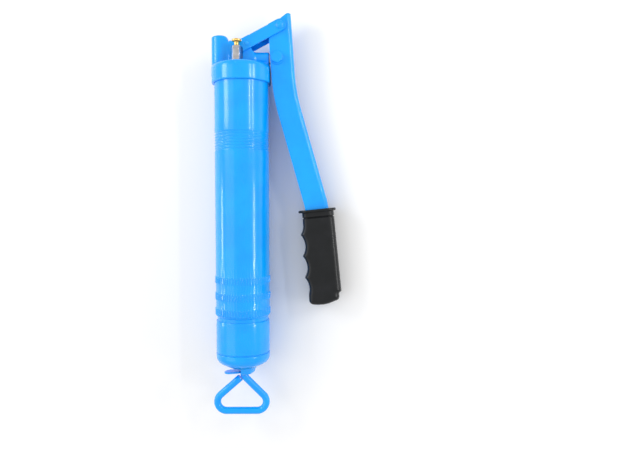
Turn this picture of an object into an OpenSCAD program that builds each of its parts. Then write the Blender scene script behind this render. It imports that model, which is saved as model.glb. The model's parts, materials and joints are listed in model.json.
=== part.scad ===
// Lever grease gun, lying on its side.
//
// Every module draws in the gun's own axes: Z runs up the barrel towards the
// pump head and is zero at the collar's lower rim, X points from the barrel
// to the lever, and -Y is the face that ends up on top. lay() then turns the
// gun onto the ground, where it rests on the collar and the grip's flange.

/* [Barrel] */
// Outer diameter of the grease barrel
barrel_d = 57; // [52:0.5:60]
// Sheet thickness of the barrel
barrel_wall = 1.3; // [1:0.1:2]
// Length of the barrel below the collar, to the rolled-in rim
barrel_len = 245; // [235:1:255]
// Number of raised flutes around each knurled band
flute_count = 64; // [48:4:80]
// Number of rolled rings in the upper band
ring_count = 7; // [5:1:8]

/* [Pump head] */
// Outer diameter of the collar that the barrel screws into
collar_d = 62.4; // [62:0.2:64]
// Height of the collar
collar_h = 20; // [19:0.5:21]
// Outer diameter of the outlet boss
outlet_d = 16.6; // [15:0.2:18]
// Height of the outlet boss above the collar's lower rim
outlet_top = 49.4; // [49:0.2:54]
// Height of the pump bore above the collar's lower rim
pump_z = 26; // [25.5:0.1:26.5]
// Outer diameter of the pump barrel
pump_d = 14.5; // [14:0.1:15]

/* [Mechanism] */
// Diameter of the plunger
plunger_d = 9; // [8:0.1:9.5]
// Distance between the two pins of the link
link_len = 39.4; // [39:0.1:40]
// Height of the link plates
link_w = 12.5; // [12:0.1:13]
// Outer width over the two link plates
link_span = 20; // [20:0.2:22]
// Outer width of the lever channel
lever_span = 15.4; // [15:0.1:15.4]
// Depth of the lever channel, from the open side to the spine
lever_depth = 24.5; // [24:0.1:25]
// Sheet thickness of the lever and of the link
sheet = 2; // [1.8:0.1:2]

/* [Grip] */
// Length of the moulded grip
grip_len = 100.5; // [98:0.5:103]
// Width of the grip, from the finger side to the palm side
grip_w = 36.8; // [36:0.2:38]
// Thickness of the grip
grip_t = 25; // [24:0.2:26]
// Depth of the finger scallops
scallop_depth = 3.6; // [3:0.1:4]

/* [Follower rod] */
// Diameter of the pull rod
rod_d = 7.5; // [7:0.1:8]
// Outer width of the bent handle
handle_w = 59.6; // [58:0.2:61]
// Centre radius of the bends in the handle
handle_r = 9.8; // [9:0.1:10.5]

/* [Hidden] */

// fits
run_gap = 0.05;     // radial clearance of a running fit
loose_gap = 0.4;    // clearance between parts that only pass each other
eps = 0.5;          // overlap of tools that cut through a face
$fn = 64;

// colours
paint = [0.12, 0.55, 0.95];
black = [0.06, 0.06, 0.07];
chrome = [0.78, 0.79, 0.80];
brass = [0.80, 0.64, 0.28];
steel = [0.60, 0.61, 0.62];
rubber = [0.12, 0.12, 0.12];

// barrel and end cap
barrel_r = barrel_d / 2;
bore_r = barrel_r - barrel_wall;
collar_r = collar_d / 2;
thread_depth = 12.5;        // how far the barrel enters the collar
gasket_t = 2.2;             // and the gasket that it presses on
neck_r = barrel_r - 1.6;    // reduced end that screws into the end sleeve
neck_len = 16;
ring_pitch = 2.9;
ring_z = -70.9;             // lower end of the ring band
band_z = [-241.5, -225.3, -208.3];  // lower ends of the knurled bands
band_h = 7;
flute_w = 1.2;
flute_h = 0.35;
sleeve_r = barrel_r - 0.2;
sleeve_top = -barrel_len - 2.6;
sleeve_bottom = -281.2;
dome_top = sleeve_bottom - 0.8;
dome_r = barrel_r - 0.1;
dome_wall = 1.6;
dome_round = 9;             // outer radius of the dome's shoulder
dome_slope = 27;
dome_base_r = 15;           // where the cone meets the lock housing
dome_side = 3.7;            // straight part of the dome's side
dome_corner = [dome_r - dome_round, dome_top - dome_side];
dome_tangent = dome_corner + dome_round * [sin(dome_slope), -cos(dome_slope)];
dome_base_z = dome_tangent[1] - (dome_tangent[0] - dome_base_r) * tan(dome_slope);
bush_r = 6;

// pump head
outlet_x = -collar_r + outlet_d / 2;
outlet_r = outlet_d / 2;
boss_foot = 9;              // the boss reaches down into the collar's side
outlet_thread_r = 5;        // M10 x 1
outlet_thread_depth = 12;
stop_r = 4.2;
stop_h = 2;
web_t = 13.6;
web_top = 44.6;
lug_t = lever_span;
pump_r = pump_d / 2;
pump_end = 29.4;
pump_blind = -14;
seal_r = 5.9;
seal_x = 21.8;
seal_len = 4.8;
gland_len = pump_end - seal_x - seal_len;
ball_r = 3;
seat_r = 1.8;
seat_z = 27;
ball_z = seat_z + sqrt(ball_r * ball_r - seat_r * seat_r) + 0.02;
chamber_r = 3.6;
stop_z = outlet_top - outlet_thread_depth - stop_h;
bleeder_pos = [-3, -15.9];
bleeder_hex = 11;           // across flats

// link and lever pivots, closed position
pin_a = [6.2, 41.0];
link_angle = 28.1;
pin_b = pin_a + link_len * [cos(link_angle), sin(link_angle)];
bolt_c = [37.5, pump_z];
pin_r = 2.5;
bolt_r = 3.5;
eye_r = 8.6;
eye_t = 8;
slot_x = 1;                 // play of the bolt along the plunger
slot_z = 1.9;               // play of the bolt across the plunger

// lever centre line, from the top end down: corner points and bend radii
lever_line = [[39.3, 80], [45.3, -10.4], [78.6, -128.1], [86.9, -214]];
lever_bend = [0, 200, 60, 0];

// grip axes: origin at the middle of the flange, v runs down the grip
grip_pos = [78.9, -131.3];
grip_tilt = 5.5;
flange_w = 39.4;
flange_t = 30;
flange_h = 2.7;
finger_pitch = 22.6;
first_peak = 25.3;
finger_count = 3;
palm_u = 17.2;
finger_u = palm_u - grip_w;
palm_round = 6;
finger_round = 5;
step_v = 88;                // the end of the grip is a little narrower from here

// rod, handle and lock
rod_r = rod_d / 2;
rod_top = 2.5;
handle_bottom = -346.4;     // centre line of the handle's lower bar
bend_swell = 0.05;          // a bend is slightly thicker than the straight rod
bend_lap = 0.3;             // and the straight parts reach this far into it
left_slope = 41;            // of the two legs, from the lower bar
right_slope = 45;
housing_bottom = -306.2;
lock_x = 4.9;               // fulcrum of the lock plate
lock_z = -303.4;
lock_tilt = 4;
lock_t = 1.8;

// resting position: the collar and the flange's lower corner share the ground
flange_corner = 10;
rest_x = grip_pos[0] + (flange_w / 2 - flange_corner) * cos(grip_tilt) + flange_h * sin(grip_tilt);
rest_y = flange_t / 2 - flange_corner;
rest_drop = collar_r - flange_corner;
roll = asin(rest_drop / norm([rest_x, rest_y])) - atan2(rest_y, rest_x);
lever_top = 72.4;
overall_y = (lever_top + handle_bottom - rod_r) / 2;
palm_x = grip_pos[0] + step_v * sin(grip_tilt) + (palm_u - palm_round) * cos(grip_tilt);
right_x = palm_x * cos(roll) + (grip_t / 2 - palm_round) * sin(roll) + palm_round;
overall_x = (right_x - collar_r) / 2;

function arc(c, r, a0, a1, n) = [
    for (i = [0:n]) let (a = a0 + (a1 - a0) * i / n) c + r * [cos(a), sin(a)]
];
function unit(v) = v / norm(v);
function left_of(v) = [-v[1], v[0]];

// corner i of a bent strip's edge that runs at distance d from its centre line
function edge_corner(p, i, d) =
    let (a = unit(p[i] - p[max(i - 1, 0)] + (i == 0 ? p[1] - p[0] : [0, 0])))
    let (b = unit(p[min(i + 1, len(p) - 1)] - p[i] + (i == len(p) - 1 ? p[i] - p[i - 1] : [0, 0])))
    p[i] + d * (left_of(a) + left_of(b)) / (1 + a * b);

// that edge with its inner corners rounded, the radius following the side
function strip_edge(p, bend, d) = [
    for (i = [0:len(p) - 1])
        if (bend[i] == 0) edge_corner(p, i, d)
        else
            let (c = edge_corner(p, i, d))
            let (a = unit(p[i] - p[i - 1]))
            let (b = unit(p[i + 1] - p[i]))
            let (side = sign(a[0] * b[1] - a[1] * b[0]))
            let (r = bend[i] - side * d)
            let (turn = acos(a * b))
            let (start = c - a * r * tan(turn / 2))
            let (centre = start + side * r * left_of(a))
            let (from = atan2(start[1] - centre[1], start[0] - centre[0]))
            each arc(centre, r, from, from + side * turn, 8)
];

function reversed(p) = [for (i = [len(p) - 1:-1:0]) p[i]];
function strip(p, bend, d0, d1) = concat(strip_edge(p, bend, d0), reversed(strip_edge(p, bend, d1)));

// turns the standing gun onto the ground
module lay() {
    translate([-overall_x, -overall_y, collar_r])
        rotate([0, roll, 0])
            rotate([-90, 0, 0])
                children();
}

// a side-view outline given in X and Z, made t thick across Y
module slab(t, y = 0) {
    translate([0, y + t / 2, 0])
        rotate([90, 0, 0])
            linear_extrude(t)
                children();
}

// a cylinder across the gun at a side-view point
module cross_pin(p, r, t, y = 0) {
    translate([p[0], y + t / 2, p[1]])
        rotate([90, 0, 0])
            cylinder(r = r, h = t);
}

// a cylinder along X
module pump_pin(x0, x1, r) {
    translate([x0, 0, pump_z])
        rotate([0, 90, 0])
            cylinder(r = r, h = x1 - x0);
}

// a coil swept along Z: turns, mean radius, wire radius, height of the centre line
module coil(turns, r0, r1, wire, height, per_turn = 18, sides = 8) {
    steps = round(turns * per_turn);
    rings = [
        for (i = [0:steps])
            let (a = 360 * turns * i / steps)
            let (r = r0 + (r1 - r0) * i / steps)
            let (z = height * i / steps)
            [for (k = [0:sides - 1])
                let (b = 360 * k / sides)
                [(r + wire * cos(b)) * cos(a), (r + wire * cos(b)) * sin(a), z + wire * sin(b)]]
    ];
    points = [for (ring = rings) each ring];
    walls = [
        for (i = [0:steps - 1])
            for (k = [0:sides - 1])
                let (n = (k + 1) % sides)
                [i * sides + k, i * sides + n, (i + 1) * sides + n, (i + 1) * sides + k]
    ];
    first = [for (k = [sides - 1:-1:0]) k];
    last = [for (k = [0:sides - 1]) steps * sides + k];
    polyhedron(points, concat([first], walls, [last]));
}

// ---------------------------------------------------------------- pump head

module collar() {
    top_round = 5.5;
    foot_round = 1.4;
    rotate_extrude($fn = 128)
        polygon(concat(
            [[0, 0], [0, collar_h]],
            arc([collar_r - top_round, collar_h - top_round], top_round, 90, 0, 8),
            arc([collar_r - foot_round, foot_round], foot_round, 0, -90, 4)
        ));
}

module outlet_boss() {
    top_round = 1.2;
    translate([outlet_x, 0, 0])
        rotate_extrude()
            polygon(concat(
                [[0, boss_foot], [0, outlet_top]],
                arc([outlet_r - top_round, outlet_top - top_round], top_round, 90, 0, 4),
                [[outlet_r, boss_foot]]
            ));
}

// the wall between the outlet boss and the link's lug
module web() {
    shoulder = 5;
    slab(web_t)
        polygon(concat(
            [[outlet_x, collar_h - 3], [outlet_x, outlet_top - 1.3]],
            [[outlet_x + 5.2, outlet_top - 1.3]],
            arc([outlet_x + 5.2, outlet_top - 1.3 - shoulder], shoulder, 90, 0, 5),
            [[-12, web_top], [pin_a[0], web_top], [12, pump_z + 8], [15, collar_h - 3]]
        ));
}

// rounded ear that carries the link pin, running down into the pump barrel
module lug() {
    ear_r = 4.7;
    foot = 16;
    blend = 5;
    slab(lug_t)
        polygon(concat(
            arc(pin_a, ear_r, 180, 0, 14),
            arc([pin_a[0] + ear_r + blend, pump_z + pump_r - 1 + blend], blend, 180, 240, 6),
            [[foot, collar_h - 3], [pin_a[0] - ear_r, collar_h - 3]]
        ));
}

module pump_barrel() {
    foot_t = 10;
    pump_pin(pump_blind + 2, pump_end, pump_r);
    translate([0, -foot_t / 2, collar_h - 3])
        cube([pump_end - 1, foot_t, pump_z - collar_h + 3]);
}

module outlet_bores() {
    translate([outlet_x, 0, outlet_top - outlet_thread_depth])
        cylinder(r = outlet_thread_r, h = outlet_thread_depth + eps);
    translate([outlet_x, 0, stop_z])
        cylinder(r = stop_r, h = outlet_top - stop_z);
    translate([outlet_x, 0, seat_z])
        cylinder(r = chamber_r, h = outlet_top - seat_z);
    translate([outlet_x, 0, pump_z - seat_r])
        cylinder(r = seat_r, h = 12);
    pump_pin(outlet_x, pump_blind + 2, seat_r);
}

module pump_bores() {
    inlet_r = 3;
    pump_pin(pump_blind, pump_end + eps, plunger_d / 2 + run_gap);
    pump_pin(seal_x, pump_end + eps, seal_r);
    translate([3, 0, thread_depth])
        cylinder(r = inlet_r, h = pump_z - thread_depth);
}

module head_casting() {
    color(paint) lay() difference() {
        union() {
            collar();
            outlet_boss();
            web();
            lug();
            pump_barrel();
        }
        translate([0, 0, -eps])
            cylinder(r = barrel_r + run_gap, h = thread_depth + gasket_t + eps);
        outlet_bores();
        pump_bores();
        cross_pin(pin_a, pin_r + run_gap, lug_t + 2 * eps);
        translate([bleeder_pos[0], bleeder_pos[1], thread_depth])
            cylinder(r = 3, h = collar_h);
    }
}

module check_ball() {
    color(steel) lay()
        translate([outlet_x, 0, ball_z])
            sphere(r = ball_r, $fn = 32);
}

module check_spring() {
    wire = 0.3;
    coil_r = 2.2;
    base = ball_z + sqrt(ball_r * ball_r - coil_r * coil_r) + wire + 0.2;
    top = stop_z - wire - 0.05;
    color(steel) lay()
        translate([outlet_x, 0, base])
            coil(2.5, coil_r, coil_r, wire, top - base, 14, 6);
}

// ring pressed in below the outlet thread, holding the check spring
module spring_stop() {
    color(steel) lay()
        translate([outlet_x, 0, stop_z])
            difference() {
                cylinder(r = stop_r, h = stop_h);
                translate([0, 0, -eps])
                    cylinder(r = seat_r, h = stop_h + 2 * eps);
            }
}

module bleeder_body() {
    flange = 1.4;
    flange_r = 6.9;
    hex_top = 35.3;
    hex_r = bleeder_hex / 2 / cos(30);
    bore = 2.8;
    color(chrome) lay()
        translate([bleeder_pos[0], bleeder_pos[1], 0])
            difference() {
                union() {
                    translate([0, 0, thread_depth + 2.4])
                        cylinder(r = 3, h = 6);
                    translate([0, 0, collar_h])
                        cylinder(r = flange_r, h = flange);
                    intersection() {
                        translate([0, 0, collar_h + flange])
                            cylinder(r = hex_r, h = hex_top - collar_h - flange, $fn = 6);
                        translate([0, 0, collar_h])
                            cylinder(r1 = hex_r + 9, r2 = hex_r - 0.9, h = hex_top - collar_h);
                    }
                }
                translate([0, 0, thread_depth])
                    cylinder(r = 1.2, h = 12);
                translate([0, 0, 24])
                    cylinder(r = bore + run_gap, h = 14);
            }
}

// push tip of the bleeder: a stem in the bore, a waist and a knurled head
module bleeder_tip() {
    stem = 2.8;
    color(brass) lay()
        translate([bleeder_pos[0], bleeder_pos[1], 0])
            rotate_extrude()
                polygon([
                    [0, 27], [stem, 27], [stem, 39.2], [3.4, 40],
                    [4.9, 40.7], [4.9, 42.2], [4.3, 42.7], [0, 42.7]
                ]);
}

// ---------------------------------------------------------- pumping linkage

// plunger with a flat eye, whose long hole lets the lever bolt swing
module plunger() {
    tip = -9;
    hole_r = bolt_r + 0.3;
    color(steel) lay() difference() {
        union() {
            pump_pin(tip, bolt_c[0] - eye_r + 1.6, plunger_d / 2);
            intersection() {
                cross_pin(bolt_c, eye_r, eye_t);
                translate([bolt_c[0] - eye_r + 0.6, -eye_t, 0])
                    cube([2 * eye_r, 2 * eye_t, 60]);
            }
        }
        slab(eye_t + 2 * eps)
            union() {
                for (sx = [-1, 1])
                    for (sz = [-1, 1])
                        translate(bolt_c + [sx * (slot_x - 0.3), sz * (slot_z - 0.3)])
                            circle(r = hole_r);
                translate(bolt_c)
                    square([2 * (slot_x - 0.3), 2 * (slot_z - 0.3 + hole_r)], center = true);
                translate(bolt_c)
                    square([2 * (slot_x - 0.3 + hole_r), 2 * (slot_z - 0.3)], center = true);
            }
    }
}

module plunger_seal() {
    color(rubber) lay() difference() {
        pump_pin(seal_x, seal_x + seal_len, seal_r);
        pump_pin(seal_x - eps, seal_x + seal_len + eps, plunger_d / 2 + run_gap);
    }
}

module gland_ring() {
    color(steel) lay() difference() {
        pump_pin(seal_x + seal_len, seal_x + seal_len + gland_len, seal_r);
        pump_pin(seal_x, pump_end + eps, plunger_d / 2 + run_gap);
    }
}

// side view of a link plate: square-cut at the head, round at the lever
module link_plate() {
    tail = 7.2;
    corner = 4.5;
    translate(pin_a)
        rotate(link_angle)
            polygon(concat(
                [[-tail, -link_w / 2]],
                arc([link_len, 0], link_w / 2, -90, 90, 12),
                arc([-tail + corner, link_w / 2 - corner], corner, 90, 180, 5)
            ));
}

module link() {
    inner = link_span - 2 * sheet;
    web_from = 8;
    web_to = 27;
    color(paint) lay() difference() {
        union() {
            for (s = [-1, 1])
                slab(sheet, s * (link_span - sheet) / 2)
                    link_plate();
            slab(inner)
                translate(pin_a)
                    rotate(link_angle)
                        translate([web_from, link_w / 2 - sheet])
                            square([web_to - web_from, sheet]);
        }
        cross_pin(pin_a, pin_r, link_span + 2 * eps);
        cross_pin(pin_b, pin_r, link_span + 2 * eps);
    }
}

// flush pin through the lug
module link_pin() {
    color(paint) lay()
        cross_pin(pin_a, pin_r, link_span);
}

// rivet through the lever's upper end, with a low dome on each side
module lever_pin() {
    head_r = 4.5;
    head_h = 2;
    dome_sphere = (head_r * head_r + head_h * head_h) / (2 * head_h);
    color(paint) lay() {
        cross_pin(pin_b, pin_r, link_span);
        for (s = [0, 180])
            translate([pin_b[0], 0, pin_b[1]])
                rotate([90, 0, s])
                    translate([0, 0, link_span / 2])
                        intersection() {
                            translate([0, 0, head_h - dome_sphere])
                                sphere(r = dome_sphere);
                            cylinder(r = head_r, h = head_h);
                        }
    }
}

// outer side view of the lever, between two distances from its centre line
module lever_outline(d0, d1) {
    polygon(strip(lever_line, lever_bend, d0, d1));
}

// what is cut away from the strip to leave the lever's slanted top end
module lever_trim() {
    polygon([
        [20, 57.5], [35, 62.9], [39.6, 65.4], [44.2, 69.3], [48, 72], [49.5, lever_top], [49.5, 90], [20, 90]
    ]);
    polygon([[20, lever_top], [60, lever_top], [60, 90], [20, 90]]);
}

module lever() {
    half = lever_depth / 2;
    channel = lever_span - 2 * sheet;
    color(paint) lay() difference() {
        slab(lever_span)
            difference() {
                lever_outline(half, -half);
                lever_trim();
            }
        slab(channel)
            lever_outline(half - sheet, -half - 5);
        cross_pin(pin_b, pin_r + run_gap, lever_span + 2 * eps);
        cross_pin(bolt_c, bolt_r, lever_span + 2 * eps);
    }
}

// hexagon-headed bolt that joins the lever to the plunger
module pivot_bolt() {
    head_h = 3.8;
    seat = lever_span / 2 + 1.2;
    head_r = 5.5 / cos(30);
    color(paint) lay() {
        cross_pin(bolt_c, bolt_r, 2 * seat + 5.6);
        translate([bolt_c[0], -seat, bolt_c[1]])
            rotate([90, 0, 0])
                intersection() {
                    cylinder(r = head_r, h = head_h, $fn = 6);
                    translate([0, 0, -6])
                        cylinder(r1 = head_r + 6, r2 = head_r - 1.2, h = head_h + 6);
                }
    }
}

module pivot_washers() {
    washer_t = 1.2;
    washer_r = 7;
    color(paint) lay()
        for (s = [-1, 1])
            difference() {
                cross_pin(bolt_c, washer_r, washer_t, s * (lever_span + washer_t) / 2);
                cross_pin(bolt_c, bolt_r, 3 * washer_t, s * (lever_span + washer_t) / 2);
            }
}

module pivot_nut() {
    nut_h = 2.8;
    seat = lever_span / 2 + 1.2;
    color(paint) lay() difference() {
        translate([bolt_c[0], seat + nut_h, bolt_c[1]])
            rotate([90, 0, 0])
                cylinder(r = 5.5 / cos(30), h = nut_h, $fn = 6);
        cross_pin(bolt_c, bolt_r, nut_h * 3, seat + nut_h / 2);
    }
}

// ---------------------------------------------------------------------- grip

// grip axes in the side view: u across, v down the grip
module grip_axes() {
    translate(grip_pos)
        rotate(grip_tilt)
            children();
}

// finger side of the grip: scallops between cusps at the finger pitch
function scallops() =
    let (r = (pow(finger_pitch / 2, 2) + pow(scallop_depth, 2)) / (2 * scallop_depth))
    let (half = asin(finger_pitch / 2 / r))
    [for (k = [0:finger_count])
        let (mid = first_peak + (k - 0.5) * finger_pitch)
        let (c = [finger_u + scallop_depth - r, -mid])
        each arc(c, r, half, -half, 8)];

module grip_side() {
    neck = 16;
    last_scallop = 89;
    step_in = 2.6;
    step_drop = 3.6;
    foot = 5;
    toe_in = 1.9;
    toe_rise = 1;
    heel_rise = 2.5;
    toe = [finger_u + toe_in + foot, -grip_len + toe_rise + foot];
    heel = [palm_u - step_in - foot, -grip_len + heel_rise + foot];
    polygon(concat(
        [[palm_u - 1, 0], [-neck, 0], [-neck, -8]],
        [for (p = scallops()) if (p[1] < 0.5 * finger_pitch - first_peak && p[1] > -last_scallop) p],
        arc(toe, foot, 180, 260, 6),
        [[-5, -grip_len]],
        arc(heel, foot, 285, 360, 6),
        [[palm_u - step_in, -step_v - step_drop], [palm_u, -step_v], [palm_u, -4]]
    ));
}

// cross section of the body
module grip_section() {
    hull() {
        for (s = [-1, 1]) {
            translate([palm_u - palm_round, s * (grip_t / 2 - palm_round)])
                circle(r = palm_round);
            translate([finger_u + finger_round, s * (grip_t / 2 - finger_round)])
                circle(r = finger_round);
        }
    }
}

module flange_section() {
    hull()
        for (sx = [-1, 1])
            for (sy = [-1, 1])
                translate([sx * (flange_w / 2 - flange_corner), sy * (flange_t / 2 - flange_corner)])
                    circle(r = flange_corner);
}

module grip() {
    color(black) lay() difference() {
        union() {
            intersection() {
                slab(grip_t + 2)
                    grip_axes()
                        grip_side();
                translate([grip_pos[0], 0, grip_pos[1]])
                    rotate([0, -grip_tilt, 0])
                        translate([0, 0, -grip_len - eps])
                            linear_extrude(grip_len + 1)
                                grip_section();
            }
            translate([grip_pos[0], 0, grip_pos[1]])
                rotate([0, -grip_tilt, 0])
                    translate([0, 0, -flange_h])
                        linear_extrude(flange_h)
                            flange_section();
        }
        slab(lever_span)
            lever_outline(lever_depth / 2, -lever_depth / 2);
    }
}

// -------------------------------------------------------- barrel and end cap

module barrel_body() {
    round_r = 3;
    rotate_extrude($fn = 128)
        difference() {
            polygon(concat(
                [[bore_r, thread_depth], [barrel_r, thread_depth]],
                arc([barrel_r - round_r, -barrel_len + round_r + 0.6], round_r, 0, -62, 6),
                [[neck_r, -barrel_len - 1.2], [neck_r, -barrel_len - neck_len]],
                [[neck_r - barrel_wall, -barrel_len - neck_len], [neck_r - barrel_wall, -barrel_len - 1]],
                [[bore_r, -barrel_len + 2.5]]
            ));
            for (i = [0:ring_count - 1])
                translate([barrel_r + 1.35, ring_z + ring_pitch * (i + 0.5) - ring_pitch / 2])
                    circle(r = 1.7, $fn = 24);
        }
}

module flutes() {
    sink = 0.3;
    for (z = band_z)
        for (i = [0:flute_count - 1])
            rotate(360 * i / flute_count)
                translate([barrel_r - sink, -flute_w / 2, z])
                    cube([flute_h + sink, flute_w, band_h]);
}

module barrel() {
    color(paint) lay() {
        barrel_body();
        flutes();
    }
}

module head_gasket() {
    color(rubber) lay()
        translate([0, 0, thread_depth])
            difference() {
                cylinder(r = barrel_r - 0.2, h = gasket_t);
                translate([0, 0, -eps])
                    cylinder(r = bore_r - 2.4, h = 4);
            }
}

// pressed sleeve that screws onto the barrel's neck
module end_sleeve() {
    shoulder = 1.2;
    lip = 0.9;
    color(paint) lay()
        rotate_extrude($fn = 128)
            polygon(concat(
                [[neck_r, sleeve_top], [sleeve_r - shoulder, sleeve_top]],
                arc([sleeve_r - shoulder, sleeve_top - shoulder], shoulder, 90, 0, 6),
                arc([sleeve_r - lip, sleeve_bottom + lip], lip, 0, -90, 3),
                [[neck_r, sleeve_bottom]]
            ));
}

// domed bottom of the end cap, pressed into the sleeve
module end_dome() {
    lip = 1;
    spigot = 11;
    groove_r = dome_r - lip;
    color(paint) lay()
        rotate_extrude($fn = 128)
            polygon(concat(
                [[neck_r - 1.5, sleeve_bottom + spigot], [neck_r, sleeve_bottom + spigot]],
                [[neck_r, sleeve_bottom], [groove_r, sleeve_bottom], [groove_r, dome_top]],
                arc([dome_r - lip, dome_top - lip], lip, 90, 0, 3),
                arc(dome_corner, dome_round, 0, dome_slope - 90, 8),
                [[dome_base_r, dome_base_z], [bush_r, dome_base_z], [bush_r, dome_base_z + dome_wall]],
                [[dome_base_r, dome_base_z + dome_wall + 0.2]],
                arc(dome_corner, dome_round - dome_wall, dome_slope - 90, 0, 6),
                [[neck_r - 1.5, dome_top]]
            ));
}

// guide bush of the rod, pressed into the dome from inside
module rod_bush() {
    flange_r = bush_r + 2.4;
    flange_top = 6;
    color(steel) lay()
        translate([0, 0, dome_base_z])
            difference() {
                union() {
                    cylinder(r = bush_r, h = flange_top);
                    translate([0, 0, dome_wall])
                        cylinder(r = flange_r, h = flange_top - dome_wall);
                }
                translate([0, 0, -eps])
                    cylinder(r = rod_r + run_gap, h = flange_top + 2 * eps);
            }
}

// ------------------------------------------------- follower, rod and lock

// rubber cup that pushes the grease
module follower_cup() {
    cup_r = bore_r - 0.05;
    lip_h = 9;
    floor_h = 3.5;
    hub_r = 4.5;
    color(rubber) lay()
        translate([0, 0, rod_top - 14])
            rotate_extrude($fn = 96)
                polygon([
                    [hub_r, 0], [cup_r - 3, 0], [cup_r - 1, 1.5], [cup_r, lip_h], [cup_r - 1.4, lip_h],
                    [cup_r - 3.6, floor_h], [hub_r, floor_h]
                ]);
}

module follower_plates() {
    hub_r = 4.5;
    color(steel) lay()
        translate([0, 0, rod_top - 14])
            for (stack = [[-1.6, 21], [3.5, 18]])
                translate([0, 0, stack[0]])
                    difference() {
                        cylinder(r = stack[1], h = 1.6);
                        translate([0, 0, -eps])
                            cylinder(r = rod_r + run_gap, h = 3);
                    }
}

module follower_nut() {
    nut_r = 6.5 / cos(30);
    color(steel) lay()
        translate([0, 0, rod_top - 8.9])
            difference() {
                cylinder(r = nut_r, h = 5, $fn = 6);
                translate([0, 0, -eps])
                    cylinder(r = rod_r + run_gap, h = 6 + eps);
            }
}

// long spring between the end cap and the follower
module follower_spring() {
    wire = 1.1;
    spring_r = 21;
    seat = dome_corner[1] - sqrt(pow(dome_round - dome_wall, 2) - pow(spring_r - dome_corner[0], 2));
    base = seat + wire + 0.4;
    top = rod_top - 15.6 - wire - 0.1;
    color(steel) lay()
        translate([0, 0, base])
            coil(15, spring_r, spring_r, wire, top - base, 14, 6);
}

// straight part of the rod between two side-view points, its ends let into the bends
module rod_run(p, q, lap_p = bend_lap, lap_q = bend_lap) {
    d = q - p;
    translate([p[0], 0, p[1]])
        rotate([0, atan2(d[0], d[1]), 0])
            translate([0, 0, -lap_p])
                cylinder(r = rod_r, h = norm(d) + lap_p + lap_q);
}

// bend of the rod about a side-view centre, from angle a over a sweep
module rod_bend(c, r, a, sweep) {
    translate([c[0], 0, c[1]])
        rotate([90, 0, 0])
            rotate(a)
                rotate_extrude(angle = sweep)
                    translate([r, 0])
                        circle(r = rod_r + bend_swell);
}

// pull rod, bent at its end into a three-cornered handle
module pull_rod() {
    bend_r = 11;
    side_shift = -1.9;
    leg_len = 28.4;
    left_c = [side_shift - handle_w / 2 + rod_r + handle_r, handle_bottom + handle_r];
    right_c = [side_shift + handle_w / 2 - rod_r - handle_r, handle_bottom + handle_r];
    left_n = handle_r * [-sin(left_slope), cos(left_slope)];
    right_n = handle_r * [sin(right_slope), cos(right_slope)];
    knee_rise = (handle_r + bend_r - (bend_r - right_c[0]) * sin(right_slope)) / cos(right_slope);
    bend_z = right_c[1] + knee_rise;
    knee_c = [bend_r, bend_z];
    knee_end = knee_c - bend_r * [sin(right_slope), cos(right_slope)];
    leg_top = left_c + left_n + leg_len * [cos(left_slope), sin(left_slope)];
    color(paint) lay() {
        rod_run([0, bend_z], [0, rod_top], lap_q = 0);
        translate([0, 0, rod_top - 17.4])
            cylinder(r = rod_r + 1.7, h = 1.6);
        rod_bend(knee_c, bend_r, 180, right_slope);
        rod_run(knee_end, right_c + right_n);
        rod_bend(right_c, handle_r, -90, 180 - right_slope);
        rod_run([left_c[0], handle_bottom], [right_c[0], handle_bottom]);
        rod_bend(left_c, handle_r, 90 + left_slope, 180 - left_slope);
        rod_run(left_c + left_n, leg_top, lap_q = 0);
    }
}

// pressed housing under the dome, open on the side where the lock's tab comes out
module lock_housing() {
    foot_r = 7;
    round_r = 6;
    wall = 1;
    height = dome_base_z - housing_bottom;
    mouth_x = -1.5;
    color(paint) lay() difference() {
        translate([0, 0, housing_bottom])
            difference() {
                rotate_extrude()
                    polygon(concat(
                        [[0, 0]],
                        arc([foot_r, round_r], round_r, -90, -10, 8),
                        [[dome_base_r, height], [0, height]]
                    ));
                rotate_extrude()
                    polygon(concat(
                        [[0, wall]],
                        arc([foot_r, round_r], round_r - wall, -90, -10, 8),
                        [[dome_base_r - wall, height + eps], [0, height + eps]]
                    ));
                translate([0, 0, -eps])
                    cylinder(r = rod_r + loose_gap, h = 2 * wall);
            }
        translate([-2 * dome_base_r, -dome_base_r, housing_bottom - eps])
            cube([2 * dome_base_r + mouth_x, 2 * dome_base_r, height + eps - 0.3]);
    }
}

// tilting plate that grips the rod, with a rounded thumb tab
module lock_plate() {
    tab_w = 13;
    tab_x = -20.5;
    heel_w = 8;
    color(paint) lay()
        translate([lock_x, 0, lock_z])
            rotate([0, -lock_tilt, 0])
                translate([-lock_x, 0, -lock_t / 2])
                    difference() {
                        linear_extrude(lock_t)
                            union() {
                                translate([tab_x + tab_w / 2, 0])
                                    circle(r = tab_w / 2);
                                translate([tab_x + tab_w / 2, -tab_w / 2])
                                    square([11.6, tab_w]);
                                translate([-3, -heel_w / 2 - 1])
                                    square([lock_x + 3, heel_w + 2]);
                            }
                        translate([0, 0, -eps])
                            cylinder(r = rod_r + 0.3, h = 2 * lock_t);
                    }
}

// small conical spring that tilts the lock plate
module lock_spring() {
    wire = 0.3;
    color(steel) lay()
        translate([0, 0, lock_z + lock_t / 2 + wire + 0.1])
            coil(1.5, 4.7, 5.3, wire, 0.8, 16, 6);
}

head_casting();
check_ball();
check_spring();
spring_stop();
bleeder_body();
bleeder_tip();
plunger();
plunger_seal();
gland_ring();
link();
link_pin();
lever_pin();
lever();
pivot_bolt();
pivot_washers();
pivot_nut();
grip();
barrel();
head_gasket();
end_sleeve();
end_dome();
rod_bush();
follower_cup();
follower_plates();
follower_nut();
follower_spring();
pull_rod();
lock_housing();
lock_plate();
lock_spring();
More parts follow.
